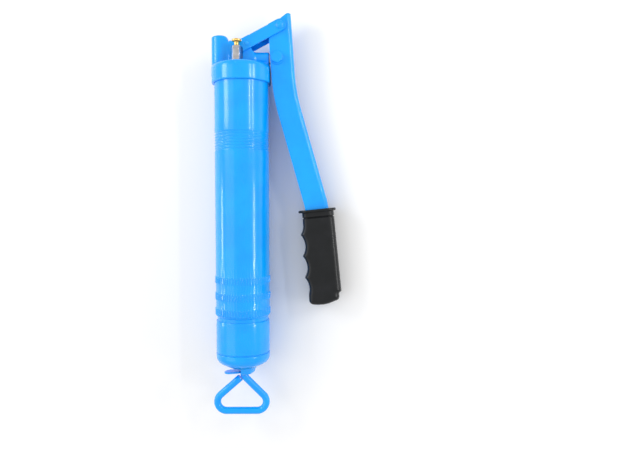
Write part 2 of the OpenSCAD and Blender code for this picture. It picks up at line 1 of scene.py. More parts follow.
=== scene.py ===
"""A lever grease gun lying on its side on a pale floor.

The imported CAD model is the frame. The visible parts are rebuilt here with
their cast, pressed and moulded detail, each riding on its CAD body, and the
parts inside keep their CAD shape. Pieces are drawn in the gun's own axes, in
millimetres: Z runs up the barrel towards the pump head and is zero at the
collar's lower rim, X points to the lever, and -Y is the face that ends up on
top. to_frame() turns them into the row frame, in metres.
"""

import functools
import json
import math

import bmesh
import bpy
import numpy as np
from mathutils import Matrix, Vector


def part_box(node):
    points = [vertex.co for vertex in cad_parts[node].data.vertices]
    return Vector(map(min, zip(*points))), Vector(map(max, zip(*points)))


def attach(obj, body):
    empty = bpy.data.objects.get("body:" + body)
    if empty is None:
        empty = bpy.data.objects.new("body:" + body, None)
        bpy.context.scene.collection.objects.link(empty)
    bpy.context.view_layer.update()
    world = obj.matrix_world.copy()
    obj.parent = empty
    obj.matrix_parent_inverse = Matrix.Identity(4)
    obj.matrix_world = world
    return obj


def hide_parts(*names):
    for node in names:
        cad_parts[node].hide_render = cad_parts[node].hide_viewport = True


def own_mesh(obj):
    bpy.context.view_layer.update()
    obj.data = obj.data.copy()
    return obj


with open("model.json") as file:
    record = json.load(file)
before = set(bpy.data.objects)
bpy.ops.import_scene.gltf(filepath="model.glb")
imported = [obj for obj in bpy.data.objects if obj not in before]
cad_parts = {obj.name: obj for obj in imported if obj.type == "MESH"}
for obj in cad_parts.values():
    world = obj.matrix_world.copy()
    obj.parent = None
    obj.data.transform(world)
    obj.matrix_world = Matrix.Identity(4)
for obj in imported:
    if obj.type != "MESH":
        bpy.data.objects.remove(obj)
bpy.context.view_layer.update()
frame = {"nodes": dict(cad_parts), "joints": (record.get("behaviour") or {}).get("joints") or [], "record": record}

# ---------------------------------------------------------------- gun axes

JOINTS = {joint["name"]: joint for joint in frame["joints"]}
MOUNTS = {mount["name"]: mount for mount in frame["record"]["mounts"]}


def unit(vector):
    """Vector of length one in the same direction."""
    vector = np.asarray(vector, float)
    return vector / np.linalg.norm(vector)


MM = 0.001
ACROSS = unit(JOINTS["plunger_stroke"]["axis"])
ALONG = unit(MOUNTS["barrel_clamp"]["axis"])
DEEP = np.cross(ALONG, ACROSS)
AXES = np.array([ACROSS, DEEP, ALONG])
ORIGIN = np.array(MOUNTS["barrel_clamp"]["pos_m"], float)
ORIGIN[1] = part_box("head_casting")[0].y


def to_frame(points):
    """Gun axes, in millimetres, to the row frame, in metres."""
    return ORIGIN + MM * np.asarray(points, float) @ AXES


def to_gun(points):
    """Row frame, in metres, to gun axes, in millimetres."""
    return (np.asarray(points, float) - ORIGIN) @ AXES.T / MM


def node_box(name):
    """Lowest and highest corner of a CAD node in gun axes."""
    mesh = frame["nodes"][name].data
    points = to_gun([vertex.co for vertex in mesh.vertices])
    return points.min(axis=0), points.max(axis=0)


PIN_A = to_gun(JOINTS["link_pivot"]["pos_m"])
PIN_B = to_gun(JOINTS["lever_pivot"]["pos_m"])
BOLT_C = sum(node_box("pivot_washers")) / 2
BLEEDER = sum(node_box("bleeder_tip")) / 2
OUTLET = to_gun(MOUNTS["outlet"]["pos_m"])
LOCK = to_gun(JOINTS["lock_tilt"]["pos_m"])

# ------------------------------------------------------------- sizes, in mm

# Width across the flats of the bleeder, the bolt and the nut
HEX_FLATS = 11.0
# How close a turned profile comes to its axis, and the play round a pin or in a bore
CORE_R = 0.02
FIT = 0.05

BARREL_R = MOUNTS["barrel_clamp"]["dims"]["r_mm"]
BARREL_WALL = 1.3
BARREL_TOP = 12.5
BARREL_END = -245.0
NECK_R = 26.9
NECK_END = -261.0
RING_COUNT = 7
RING_PITCH = 2.9
RING_START = -70.9
RING_DEPTH = 0.55
FLUTE_COUNT = 64
FLUTE_SHARE = 0.43
FLUTE_HEIGHT = 0.6
BAND_STARTS = (-241.5, -225.3, -208.3)
BAND_HEIGHT = 7.0

COLLAR_R = 31.2
COLLAR_TOP = 20.0
OUTLET_R = 8.3
OUTLET_TOP = 49.4
THREAD_R = MOUNTS["outlet"]["dims"]["r_mm"]
THREAD_DEPTH = MOUNTS["outlet"]["dims"]["length_mm"]
THREAD_PITCH = 1.0
PUMP_Z = BOLT_C[2]
PUMP_R = 7.25
PUMP_END = 29.4
PLUNGER_R = 4.5

LINK_HALF = 6.25
LINK_SPAN = 10.0
SHEET = 2.0
PIN_R = 2.5
BOLT_HOLE_R = 3.55
WASHER = 1.2
LEVER_HALF = 12.25
LEVER_SPAN = 7.7
# Corners of the lever's centre line, the bend radii at the inner two, and the cut across its
# upper end, all in X and Z
LEVER_LINE = ((39.3, 80.0), (45.3, -10.4), (78.6, -128.1), (86.9, -214.0))
LEVER_BENDS = (200.0, 60.0)
LEVER_TRIM = (
    (20.0, 57.5), (35.0, 62.9), (39.6, 65.4), (44.2, 69.3), (48.0, 72.0), (49.5, 72.4), (60.0, 72.4),
)

# Mouth of the grip; U runs across it towards the palm and V down its length
GRIP_POS = np.array([78.9, 0.0, -131.3])
GRIP_TILT = math.radians(5.5)
GRIP_LEN = 100.5
GRIP_HALF_T = 12.5
PALM_U = 17.2
FINGER_U = -19.6
SCALLOP_PITCH = 22.6
SCALLOP_DEPTH = 3.6
FIRST_PEAK = 25.3

SLEEVE_R = 28.3
SLEEVE_TOP = -247.6
SLEEVE_END = -281.2
DOME_R = 28.4
DOME_TOP = -282.0
DOME_ROUND = 9.0
DOME_SLOPE = math.radians(27)
# Height of the dome's straight side, and radius of its flat foot
DOME_SIDE = 3.7
DOME_BASE_R = 15.0
HOUSING_END = -306.2

ROD_R = 3.75
ROD_TOP = 2.5
HANDLE_BOTTOM = -346.4
HANDLE_HALF = 29.8
HANDLE_SHIFT = -1.9
HANDLE_BEND = 9.8
KNEE_BEND = 11.0
LEG_LENGTH = 28.4
LEFT_SLOPE = math.radians(41)
RIGHT_SLOPE = math.radians(45)

# ---------------------------------------------------------------- materials


class Shader:
    """A material's node tree, with the few nodes that every finish here is made of."""

    def __init__(self, name, **sockets):
        self.material = bpy.data.materials.new(name)
        self.material.use_nodes = True
        self.nodes = self.material.node_tree.nodes
        self.links = self.material.node_tree.links
        self.surface = self.nodes["Principled BSDF"]
        for socket, value in sockets.items():
            self.surface.inputs[socket.replace("_", " ")].default_value = value
        self.place = self.nodes.new("ShaderNodeTexCoord").outputs["Object"]

    def noise(self, scale, detail=3.0, stretch=None):
        """Cloudy pattern, drawn out along the axes where stretch is small."""
        place = self.place
        if stretch:
            mapping = self.nodes.new("ShaderNodeMapping")
            mapping.inputs["Scale"].default_value = stretch
            self.links.new(place, mapping.inputs["Vector"])
            place = mapping.outputs["Vector"]
        node = self.nodes.new("ShaderNodeTexNoise")
        node.inputs["Scale"].default_value = scale
        node.inputs["Detail"].default_value = detail
        self.links.new(place, node.inputs["Vector"])
        return node.outputs["Fac"]

    def cells(self, scale):
        """Grain of small cells."""
        node = self.nodes.new("ShaderNodeTexVoronoi")
        node.inputs["Scale"].default_value = scale
        self.links.new(self.place, node.inputs["Vector"])
        return node.outputs["Distance"]

    def edges(self, low, high):
        """One along the sharp outer edges, zero elsewhere."""
        geometry = self.nodes.new("ShaderNodeNewGeometry")
        return self.spread(geometry.outputs["Pointiness"], low, high, 0.0, 1.0)

    def spread(self, source, low, high, out_low, out_high):
        """Source mapped from low..high to out_low..out_high."""
        node = self.nodes.new("ShaderNodeMapRange")
        node.inputs["From Min"].default_value = low
        node.inputs["From Max"].default_value = high
        node.inputs["To Min"].default_value = out_low
        node.inputs["To Max"].default_value = out_high
        self.links.new(source, node.inputs["Value"])
        return node.outputs["Result"]

    def mix(self, factor, first, second):
        """Colour between first and second, each a tuple or a node's output."""
        node = self.nodes.new("ShaderNodeMix")
        node.data_type = "RGBA"
        self.links.new(factor, node.inputs["Factor"])
        for socket, colour in ((node.inputs[6], first), (node.inputs[7], second)):
            if isinstance(colour, tuple):
                socket.default_value = colour + (1.0,)
            else:
                self.links.new(colour, socket)
        return node.outputs[2]

    def set(self, socket, source):
        """Joins a node's output to a socket of the surface."""
        self.links.new(source, self.surface.inputs[socket])

    def bump(self, *layers):
        """Height layers as (source, height in metres), laid over each other."""
        normal = None
        for source, height in layers:
            node = self.nodes.new("ShaderNodeBump")
            node.inputs["Strength"].default_value = 1.0
            node.inputs["Distance"].default_value = height
            self.links.new(source, node.inputs["Height"])
            if normal:
                self.links.new(normal, node.inputs["Normal"])
            normal = node.outputs["Normal"]
        self.set("Normal", normal)


def make_enamel():
    """Bright blue gloss enamel, slightly uneven, thinner along the edges."""
    blue, deep, thin = (0.001, 0.365, 0.98), (0.001, 0.325, 0.95), (0.03, 0.46, 0.99)
    shader = Shader("blue_enamel", Specular_IOR_Level=0.32, Coat_Weight=0.3, Coat_Roughness=0.06)
    patches = shader.spread(shader.noise(45, 4), 0.35, 0.65, 0.0, 1.0)
    body = shader.mix(patches, blue, deep)
    shader.set("Base Color", shader.mix(shader.edges(0.54, 0.68), body, thin))
    shader.set("Roughness", shader.spread(shader.noise(160, 5), 0.3, 0.7, 0.17, 0.27))
    shader.bump((shader.noise(420, 2), 0.00003), (shader.noise(70, 2), 0.00006))
    return shader.material


def make_vinyl():
    """Black moulded vinyl with a fine grain, rubbed smoother in patches."""
    shader = Shader("black_vinyl", Specular_IOR_Level=0.36)
    worn = shader.spread(shader.noise(60, 5), 0.4, 0.7, 0.0, 1.0)
    shader.set("Base Color", shader.mix(worn, (0.003, 0.004, 0.005), (0.007, 0.008, 0.010)))
    shader.set("Roughness", shader.spread(shader.noise(90, 5), 0.3, 0.7, 0.26, 0.38))
    shader.bump((shader.cells(2600), 0.00003), (shader.noise(120, 3), 0.00010))
    return shader.material


def make_chrome():
    """Bright plating with faint turning lines and finger smears."""
    shader = Shader("chrome_plate", Metallic=1.0)
    smears = shader.spread(shader.noise(180, 4), 0.35, 0.7, 0.0, 1.0)
    shader.set("Base Color", shader.mix(smears, (0.66, 0.65, 0.66), (0.52, 0.51, 0.53)))
    shader.set("Roughness", shader.spread(shader.noise(240, 4), 0.3, 0.7, 0.08, 0.18))
    shader.bump((shader.noise(900, 2, (0.1, 2.0, 0.1)), 0.00001))
    return shader.material


def make_brass():
    """Turned brass, a little tarnished away from the edges."""
    shader = Shader("turned_brass", Metallic=1.0)
    tarnish = shader.spread(shader.noise(300, 4), 0.35, 0.7, 0.0, 1.0)
    dull = shader.mix(tarnish, (0.86, 0.60, 0.20), (0.62, 0.40, 0.12))
    shader.set("Base Color", shader.mix(shader.edges(0.52, 0.62), dull, (0.95, 0.74, 0.34)))
    shader.set("Roughness", shader.spread(shader.noise(500, 3), 0.3, 0.7, 0.18, 0.32))
    shader.bump((shader.noise(1500, 2, (0.1, 2.0, 0.1)), 0.00001))
    return shader.material


def make_steel():
    """Plain machined steel with a film of oil."""
    shader = Shader("oiled_steel", Metallic=1.0)
    film = shader.spread(shader.noise(120, 5), 0.35, 0.7, 0.0, 1.0)
    shader.set("Base Color", shader.mix(film, (0.56, 0.56, 0.57), (0.38, 0.37, 0.35)))
    shader.set("Roughness", shader.spread(shader.noise(260, 4), 0.3, 0.7, 0.22, 0.38))
    shader.bump((shader.noise(700, 3, (1.0, 0.08, 1.0)), 0.00002))
    return shader.material


def make_rubber():
    """Moulded black nitrile rubber, slightly dusty."""
    shader = Shader("nitrile_rubber")
    dust = shader.spread(shader.noise(150, 5), 0.4, 0.75, 0.0, 1.0)
    shader.set("Base Color", shader.mix(dust, (0.018, 0.018, 0.018), (0.045, 0.044, 0.042)))
    shader.set("Roughness", shader.spread(shader.noise(200, 4), 0.3, 0.7, 0.5, 0.7))
    shader.bump((shader.noise(1800, 3), 0.00003))
    return shader.material


def make_floor_finish():
    """Matt white studio sweep."""
    shader = Shader("studio_floor", Roughness=0.9, Specular_IOR_Level=0.1)
    tone = shader.spread(shader.noise(3, 3), 0.3, 0.7, 0.0, 1.0)
    shader.set("Base Color", shader.mix(tone, (0.88, 0.88, 0.88), (0.91, 0.91, 0.91)))
    return shader.material


FINISHES = {
    "paint": make_enamel(),
    "grip": make_vinyl(),
    "chrome": make_chrome(),
    "brass": make_brass(),
    "steel": make_steel(),
    "seal": make_rubber(),
}

# ------------------------------------------------------------ mesh builders


def add_piece(name, points, faces, body, finish, replaces=(), normals=None, sharp=40, bevel=0):
    """Makes a piece from points in gun axes, riding on a CAD body."""
    mesh = bpy.data.meshes.new(name)
    mesh.from_pydata(to_frame(points).tolist(), [], [[int(i) for i in face] for face in faces])
    if normals is None:
        tidy_mesh(mesh)
    piece = bpy.data.objects.new(name, mesh)
    bpy.context.scene.collection.objects.link(piece)
    if bevel:
        bevel_edges(piece, bevel, sharp)
    mesh = piece.data
    mesh.polygons.foreach_set("use_smooth", [True] * len(mesh.polygons))
    if normals is None:
        mesh.set_sharp_from_angle(angle=math.radians(sharp))
    else:
        mesh.normals_split_custom_set_from_vertices((normals @ AXES).tolist())
    mesh.materials.append(FINISHES[finish])
    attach(piece, body)
    if replaces:
        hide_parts(*replaces)
    return piece


def tidy_mesh(mesh):
    """Welds points that coincide, drops empty faces and turns all faces outwards."""
    work = bmesh.new()
    work.from_mesh(mesh)
    bmesh.ops.remove_doubles(work, verts=work.verts, dist=2e-6)
    bmesh.ops.dissolve_degenerate(work, edges=work.edges, dist=1e-7)
    bmesh.ops.recalc_face_normals(work, faces=work.faces)
    work.to_mesh(mesh)
    work.free()


def bevel_edges(piece, width, angle):
    """Rounds a piece's sharp edges over width millimetres."""
    modifier = piece.modifiers.new("edge", "BEVEL")
    modifier.width = width * MM
    modifier.segments = 3
    modifier.limit_method = "ANGLE"
    modifier.angle_limit = math.radians(angle)
    shaped = piece.evaluated_get(bpy.context.evaluated_depsgraph_get())
    mesh = bpy.data.meshes.new_from_object(shaped)
    piece.modifiers.clear()
    piece.data = mesh


def arc(centre, radius, start, end, count):
    """Points on an arc between two angles in degrees."""
    angles = np.radians(np.linspace(start, end, count + 1))
    return [(centre[0] + radius * math.cos(a), centre[1] + radius * math.sin(a)) for a in angles]


def grid_faces(rows, columns, wrap_rows=False, wrap_columns=True):
    """Quads between neighbouring points of a grid numbered row by row."""
    i = np.arange(rows if wrap_rows else rows - 1)
    j = np.arange(columns if wrap_columns else columns - 1)
    i, j = (part.ravel() for part in np.meshgrid(i, j, indexing="ij"))
    up, side = (i + 1) % rows, (j + 1) % columns
    return np.stack([i * columns + j, i * columns + side, up * columns + side, up * columns + j], 1)


def lathe(profile, steps, shape=None):
    """Spins a closed (radius, height) profile about Z; shape(angle, radius, height) may change the radius."""
    profile = np.array(profile, float)
    angle = np.linspace(0, 2 * np.pi, steps, endpoint=False)
    radius = np.repeat(profile[:, :1], steps, axis=1)
    height = np.repeat(profile[:, 1:], steps, axis=1)
    if shape:
        radius = shape(np.broadcast_to(angle, radius.shape), radius, height)
    points = np.stack([radius * np.cos(angle), radius * np.sin(angle), height], axis=2)
    return points.reshape(-1, 3), grid_faces(len(profile), steps, wrap_rows=True)


def aimed(points, start, axis):
    """Points drawn about Z, moved to start and turned so that Z runs along axis."""
    axis = unit(axis)
    side = unit(np.cross(axis, [0.31, 0.43, 0.85] if abs(axis[2]) < 0.8 else [0, 1, 0]))
    other = np.cross(axis, side)
    return np.asarray(start, float) + np.asarray(points, float) @ np.array([side, other, axis])


# ------------------------------------------------- solid fields and surfaces


def soft_min(a, b, radius):
    """Union of two distance fields, with a fillet of about that radius."""
    reach = 1.17 * radius
    share = np.clip(0.5 + 0.5 * (b - a) / reach, 0, 1)
    return b + (a - b) * share - reach * share * (1 - share)


def soft_max(a, b, radius):
    """Common part of two distance fields, with its edges rounded to about that radius."""
    return -soft_min(-a, -b, radius)


def ramp(value, low, high):
    """Smooth step from 0 at low to 1 at high."""
    t = np.clip((value - low) / (high - low), 0, 1)
    return t * t * (3 - 2 * t)


def outline(corners):
    """Signed distance to a closed outline in a plane, as a function of two arrays."""
    starts = np.array(corners, float)
    ends = np.roll(starts, -1, axis=0)
    keep = np.linalg.norm(ends - starts, axis=1) > 1e-9
    sides = list(zip(starts[keep], ends[keep]))

    def distance(a, b):
        nearest = np.full(np.broadcast(a, b).shape, np.inf)
        inside = np.zeros(nearest.shape, bool)
        for (ax, ay), (bx, by) in sides:
            ex, ey = bx - ax, by - ay
            t = np.clip(((a - ax) * ex + (b - ay) * ey) / (ex * ex + ey * ey), 0, 1)
            nearest = np.minimum(nearest, (a - ax - t * ex) ** 2 + (b - ay - t * ey) ** 2)
            if ey != 0:
                inside ^= (b >= min(ay, by)) & (b < max(ay, by)) & (a < ax + (b - ay) * ex / ey)
        return np.where(inside, -1.0, 1.0) * np.sqrt(nearest)

    return distance


def slope(field, points, reach=0.03):
    """Gradient of a field at some points."""
    parts = []
    for axis in range(3):
        shift = np.zeros(3)
        shift[axis] = reach
        ahead, behind = (points + shift).T, (points - shift).T
        parts.append((field(*ahead) - field(*behind)) / (2 * reach))
    return np.stack(parts, axis=1)


def onto_surface(field, points, limit):
    """Points moved along the gradient until the field is zero there."""
    gradient = slope(field, points)
    size = np.maximum((gradient**2).sum(axis=1), 0.05)
    move = np.clip(field(*points.T) / size, -limit, limit)
    return points - move[:, None] * gradient


def carve(field, low, high, step):
    """Quad mesh of the surface where a field is zero, with its outward normals."""
    lines = [np.arange(low[i], high[i] + step, step) for i in range(3)]
    counts = tuple(len(line) for line in lines)
    value = np.broadcast_to(field(*np.meshgrid(*lines, indexing="ij", sparse=True)), counts)
    solid = value < 0
    filled = sum(
        solid[i : counts[0] - 1 + i, j : counts[1] - 1 + j, k : counts[2] - 1 + k].astype(int)
        for i in (0, 1)
        for j in (0, 1)
        for k in (0, 1)
    )
    mixed = (filled > 0) & (filled < 8)
    number = np.full(mixed.shape, -1)
    number[mixed] = np.arange(mixed.sum())
    cells = np.argwhere(mixed)
    points = np.stack([lines[i][cells[:, i]] for i in range(3)], axis=1) + step / 2
    faces = np.concatenate([crossing_quads(solid, number, axis) for axis in range(3)])
    for _ in range(3):
        points = onto_surface(field, relaxed(points, faces), step)
    points = onto_surface(field, onto_surface(field, points, step), step)
    gradient = slope(field, points)
    normals = gradient / np.maximum(np.linalg.norm(gradient, axis=1), 1e-6)[:, None]
    return points, faces, normals


def crossing_quads(solid, number, axis):
    """One quad round each grid edge along axis that crosses the surface, facing outwards."""
    order = (axis, (axis + 1) % 3, (axis + 2) % 3)
    inside, cell = solid.transpose(order), number.transpose(order)
    i, j, k = np.nonzero(inside[:-1, 1:-1, 1:-1] != inside[1:, 1:-1, 1:-1])
    quads = np.stack([cell[i, j, k], cell[i, j + 1, k], cell[i, j + 1, k + 1], cell[i, j, k + 1]], 1)
    inward = ~inside[i, j + 1, k + 1]
    quads[inward] = quads[inward][:, ::-1]
    return quads


def relaxed(points, faces):
    """Points moved halfway to the mean centre of the quads round them."""
    centres = points[faces].mean(axis=1)
    count = np.bincount(faces.ravel(), minlength=len(points))
    total = [np.bincount(faces.ravel(), np.repeat(centres[:, i], 4), len(points)) for i in range(3)]
    return 0.5 * points + 0.5 * np.stack(total, axis=1) / count[:, None]


def add_carved(name, field, low, high, step, body, finish, replaces=(), place=None):
    """A piece from a field; place turns local points into gun axes."""
    points, faces, normals = carve(field, low, high, step)
    if place:
        zero = place(np.zeros((1, 3)))
        points, normals = place(points), place(normals) - zero
    return add_piece(name, points, faces, body, finish, replaces, normals)


# ---------------------------------------------------------------- pump head


def make_head():
    """Cast head: collar, outlet boss, web, lug and pump barrel in one casting."""
    ear_r, blend = 4.7, 5.0
    web_top, web_half = 44.6, 6.8
    base_z, boss_foot = 15.0, 9.0
    pump_start, pump_bore_start, foot_half = -12.0, 8.0, 5.0
    collar_round, bore_top = 5.5, 14.7
    seat_r, seat_top = 7.4, 40.0
    screw_r, screw_foot = 3.0, 13.0
    shoulder = (OUTLET[0] + 5.2, OUTLET_TOP - 1.3)
    web_side = outline(
        [(OUTLET[0], base_z), (OUTLET[0], shoulder[1]), shoulder]
        + arc((shoulder[0], shoulder[1] - 5), 5, 90, 0, 5)
        + [(-12, web_top), (PIN_A[0], web_top), (12, PUMP_Z + 8), (15, base_z)]
    )
    ear_side = outline(
        arc((PIN_A[0], PIN_A[2]), ear_r, 180, 0, 16)
        + arc((PIN_A[0] + ear_r + blend, PUMP_Z + PUMP_R - 1 + blend), blend, 180, 240, 8)
        + [(16, base_z), (PIN_A[0] - ear_r, base_z)]
    )

    def field(x, y, z):
        rim = np.hypot(x, y)
        collar = soft_max(rim - COLLAR_R, z - COLLAR_TOP, collar_round)
        collar = soft_max(collar, -z, 1.4)
        boss = soft_max(np.hypot(x - OUTLET[0], y) - OUTLET_R, z - OUTLET_TOP, 1.8)
        boss = np.maximum(boss, boss_foot - z)
        web = soft_max(web_side(x, z), np.abs(y) - web_half, 2.0)
        ear = soft_max(ear_side(x, z), np.abs(y) - LEVER_SPAN, 1.2)
        pump = soft_max(np.hypot(y, z - PUMP_Z) - PUMP_R, x - PUMP_END, 1.3)
        pump = np.maximum(pump, pump_start - x)
        foot = soft_max(np.maximum(np.abs(y) - foot_half, x - PUMP_END + 1.5), z - PUMP_Z, 1.0)
        foot = np.maximum(foot, np.maximum(base_z - z, pump_start - x))
        solid = soft_min(soft_min(web, boss, 2.5), soft_min(ear, pump, 2.5), 1.2)
        solid = soft_min(soft_min(solid, foot, 1.5), collar, 2.0)
        bore = soft_max(rim - BARREL_R - FIT, z - bore_top, 0.6)
        solid = soft_max(solid, -bore, 0.4)
        outlet = np.maximum(np.hypot(x - OUTLET[0], y) - THREAD_R, OUTLET_TOP - THREAD_DEPTH - z)
        chamfer = np.hypot(x - OUTLET[0], y) - THREAD_R - 0.9 + (OUTLET_TOP - z)
        solid = np.maximum(np.maximum(solid, -outlet), -chamfer)
        pump_bore = np.hypot(y, z - PUMP_Z) - PLUNGER_R - FIT
        pump_bore = np.maximum(pump_bore, pump_bore_start - x)
        pin_hole = np.hypot(x - PIN_A[0], z - PIN_A[2]) - PIN_R - FIT
        from_bleeder = np.hypot(x - BLEEDER[0], y - BLEEDER[1])
        seat = np.maximum(from_bleeder - seat_r, COLLAR_TOP + 0.02 - z)
        screw = np.maximum(from_bleeder - screw_r, screw_foot - z)
        for cut in (pump_bore, pin_hole, screw):
            solid = soft_max(solid, -cut, 0.3)
        return np.maximum(solid, -np.maximum(seat, z - seat_top))

    add_carved("head_shell", field, (-32, -32, -1), (30, 32, 52), 0.55, "head", "paint", ["head_casting"])


def make_outlet_thread():
    """Internal thread of the outlet, as a liner in the boss."""
    rows, liner, depth = int(THREAD_DEPTH * 10), 0.6, 0.5
    height = np.linspace(OUTLET_TOP - THREAD_DEPTH + 0.3, OUTLET_TOP - 1.0, rows)
    inner = [(THREAD_R, z) for z in height]
    outer = [(THREAD_R + liner, height[-1]), (THREAD_R + liner, height[0])]

    def shape(angle, radius, z):
        wave = np.abs(((z / THREAD_PITCH + angle / (2 * np.pi)) % 1) - 0.5) * 2
        return np.where(radius > THREAD_R + 0.1, radius, radius - depth * wave)

    points, faces = lathe(inner + outer, 64, shape)
    points = points + [OUTLET[0], 0, 0]
    add_piece("outlet_thread", points, faces, "head", "paint", sharp=70)


def hexagon(a, b, flats):
    """Distance to a hexagon of that width across its flats, corners along the first axis."""
    turns = [math.radians(angle) for angle in (30, 90, 150)]
    return np.maximum.reduce([np.abs(a * math.cos(t) + b * math.sin(t)) for t in turns]) - flats / 2


def over_bleeder(points):
    """Points drawn about Z, moved onto the bleeder's axis."""
    return points + [BLEEDER[0], BLEEDER[1], 0]


def make_bleeder_body():
    """Chrome hexagon body of the air bleeder, with a rim at its foot and a stud in the collar."""
    hex_top = node_box("bleeder_body")[1][2]
    rim_r, rim_h = 6.9, 1.4
    cone_r, cone_slope = 6.35, 0.9
    stud_r, stud_sink, stud_half = 3.0, 1.5, 2.0
    bore_r, bore_floor = 2.9, 24.0

    def field(x, y, z):
        out = np.hypot(x, y)
        nut = soft_max(hexagon(x, y, HEX_FLATS), z - hex_top, 0.35)
        cone = out - cone_r + (z - hex_top) * cone_slope + 0.9
        nut = np.maximum(soft_max(nut, cone, 0.3), COLLAR_TOP - z)
        rim = soft_max(out - rim_r, np.abs(z - COLLAR_TOP - rim_h / 2) - rim_h / 2, 0.4)
        stud = np.maximum(out - stud_r, np.abs(z - COLLAR_TOP + stud_sink) - stud_half)
        solid = soft_min(soft_min(nut, rim, 0.3), stud, 0.1)
        bore = np.maximum(out - bore_r, bore_floor - z)
        return soft_max(solid, -bore, 0.3)

    low, high = (-7.5, -7.5, 16), (7.5, 7.5, hex_top + 1)
    add_carved("bleeder_hexagon", field, low, high, 0.28, "head", "chrome", ["bleeder_body"], over_bleeder)


def make_bleeder_tip():
    """Turned brass push tip, with a narrow waist and a knurled head."""
    foot, top = (corner[2] for corner in node_box("bleeder_tip"))
    notches, notch_depth = 20, 0.35
    profile = [
        (CORE_R, foot), (2.8, foot), (2.8, 35.0), (2.4, 35.6), (2.4, 38.8), (2.7, 39.5), (3.4, 40.1),
        (4.6, 40.5), (4.85, 40.8), (4.9, 41.1), (4.9, 41.9), (4.75, 42.3), (4.3, 42.6), (3.9, top),
        (2.2, top), (2.0, top - 0.5), (CORE_R, top - 0.5),
    ]

    def knurl(angle, radius, z):
        notch = notch_depth * np.clip(np.cos(notches * angle) - 0.2, 0, 1)
        return np.where(radius > 4.5, radius - notch, radius)

    points, faces = lathe(profile, 160, knurl)
    add_piece("bleeder_push_tip", over_bleeder(points), faces, "bleeder_tip", "brass", ["bleeder_tip"])


# ---------------------------------------------------------- pumping linkage


def make_link():
    """Pressed link: two plates joined by a bent web along the upper edge."""
    along = unit(PIN_B - PIN_A)
    upward = np.cross([0.0, 1.0, 0.0], along)
    upward = upward if upward[2] > 0 else -upward
    length = np.linalg.norm(PIN_B - PIN_A)
    tail, corner = 7.2, 4.5
    web_from, web_to = 8.0, 27.0
    plate = outline(
        [(-tail, -LINK_HALF + 0.6), (-tail + 0.6, -LINK_HALF)]
        + arc((length, 0), LINK_HALF, -90, 90, 20)
        + arc((-tail + corner, LINK_HALF - corner), corner, 90, 180, 8)
    )

    def field(s, y, t):
        bend = 0.4 + 2.6 * ramp(s, web_from - 3, web_from) * (1 - ramp(s, web_to, web_to + 3)) * (t > 0)
        shell = soft_max(plate(s, t), np.abs(y) - LINK_SPAN, bend)
        plates = soft_max(shell, LINK_SPAN - SHEET - np.abs(y), 0.4)
        window = np.maximum(np.maximum(web_from - s, s - web_to), LINK_HALF - SHEET - t)
        web = soft_max(np.maximum(shell, np.abs(y) - LINK_SPAN + 0.5), window, 0.4)
        solid = soft_min(plates, web, 1.2)
        for centre in (0.0, length):
            solid = np.maximum(solid, PIN_R - np.hypot(s - centre, t))
        return solid

    def place(points):
        return PIN_A + points @ np.array([along, [0.0, 1.0, 0.0], upward])

    low = (-tail - 1, -LINK_SPAN - 1, -LINK_HALF - 1)
    high = (length + LINK_HALF + 1, LINK_SPAN + 1, LINK_HALF + 1)
    add_carved("link_pressing", field, low, high, 0.42, "link", "paint", ["link"], place)


def make_rivets():
    """Flush pin at the head and the domed rivet at the lever."""
    end_r, chamfer = 1.9, 0.4
    flush = [(CORE_R, -LINK_SPAN), (end_r, -LINK_SPAN), (PIN_R, -LINK_SPAN + chamfer)]
    flush += [(PIN_R, LINK_SPAN - chamfer), (end_r, LINK_SPAN), (CORE_R, LINK_SPAN)]
    points, faces = lathe(flush, 48)
    add_piece("link_rivet", aimed(points, PIN_A, (0, -1, 0)), faces, "link", "paint", ["link_pin"])
    head = [(CORE_R, 2.0), (1.2, 1.93), (2.2, 1.7), (3.1, 1.3), (3.9, 0.75), (4.35, 0.3), (4.5, 0.0)]
    upper = [(r, LINK_SPAN + h) for r, h in head]
    lower = [(r, -LINK_SPAN - h) for r, h in head[::-1]]
    shank = [(PIN_R, -LINK_SPAN + 0.01), (PIN_R, LINK_SPAN - 0.01)]
    points, faces = lathe(lower + shank + upper[::-1], 64)
    add_piece("lever_rivet", aimed(points, PIN_B, (0, -1, 0)), faces, "link", "paint", ["lever_pin"])


def lever_centre():
    """Lever's centre line as a dense table: distance, x, z, and the direction across."""
    line = [np.array(point) for point in LEVER_LINE]
    points = [line[0]]
    for before, corner, after, bend in zip(line, line[1:], line[2:], LEVER_BENDS):
        a, b = unit(corner - before), unit(after - corner)
        side = 1.0 if a[0] * b[1] - a[1] * b[0] > 0 else -1.0
        turn = math.acos(float(np.clip(a @ b, -1, 1)))
        start = corner - a * bend * math.tan(turn / 2)
        centre = start + side * bend * np.array([-a[1], a[0]])
        spoke = start - centre
        for angle in np.linspace(0, side * turn, 24):
            c, s = math.cos(angle), math.sin(angle)
            points.append(centre + np.array([c * spoke[0] - s * spoke[1], s * spoke[0] + c * spoke[1]]))
    points.append(line[-1])
    points = np.array(points)
    way = np.concatenate([[0], np.cumsum(np.linalg.norm(np.diff(points, axis=0), axis=1))])
    dense = np.linspace(0, way[-1], 1200)
    place = np.stack([np.interp(dense, way, points[:, i]) for i in (0, 1)], axis=1)
    heading = np.gradient(place, dense, axis=0)
    heading /= np.linalg.norm(heading, axis=1)[:, None]
    across = np.stack([-heading[:, 1], heading[:, 0]], axis=1)
    return dense, place, across


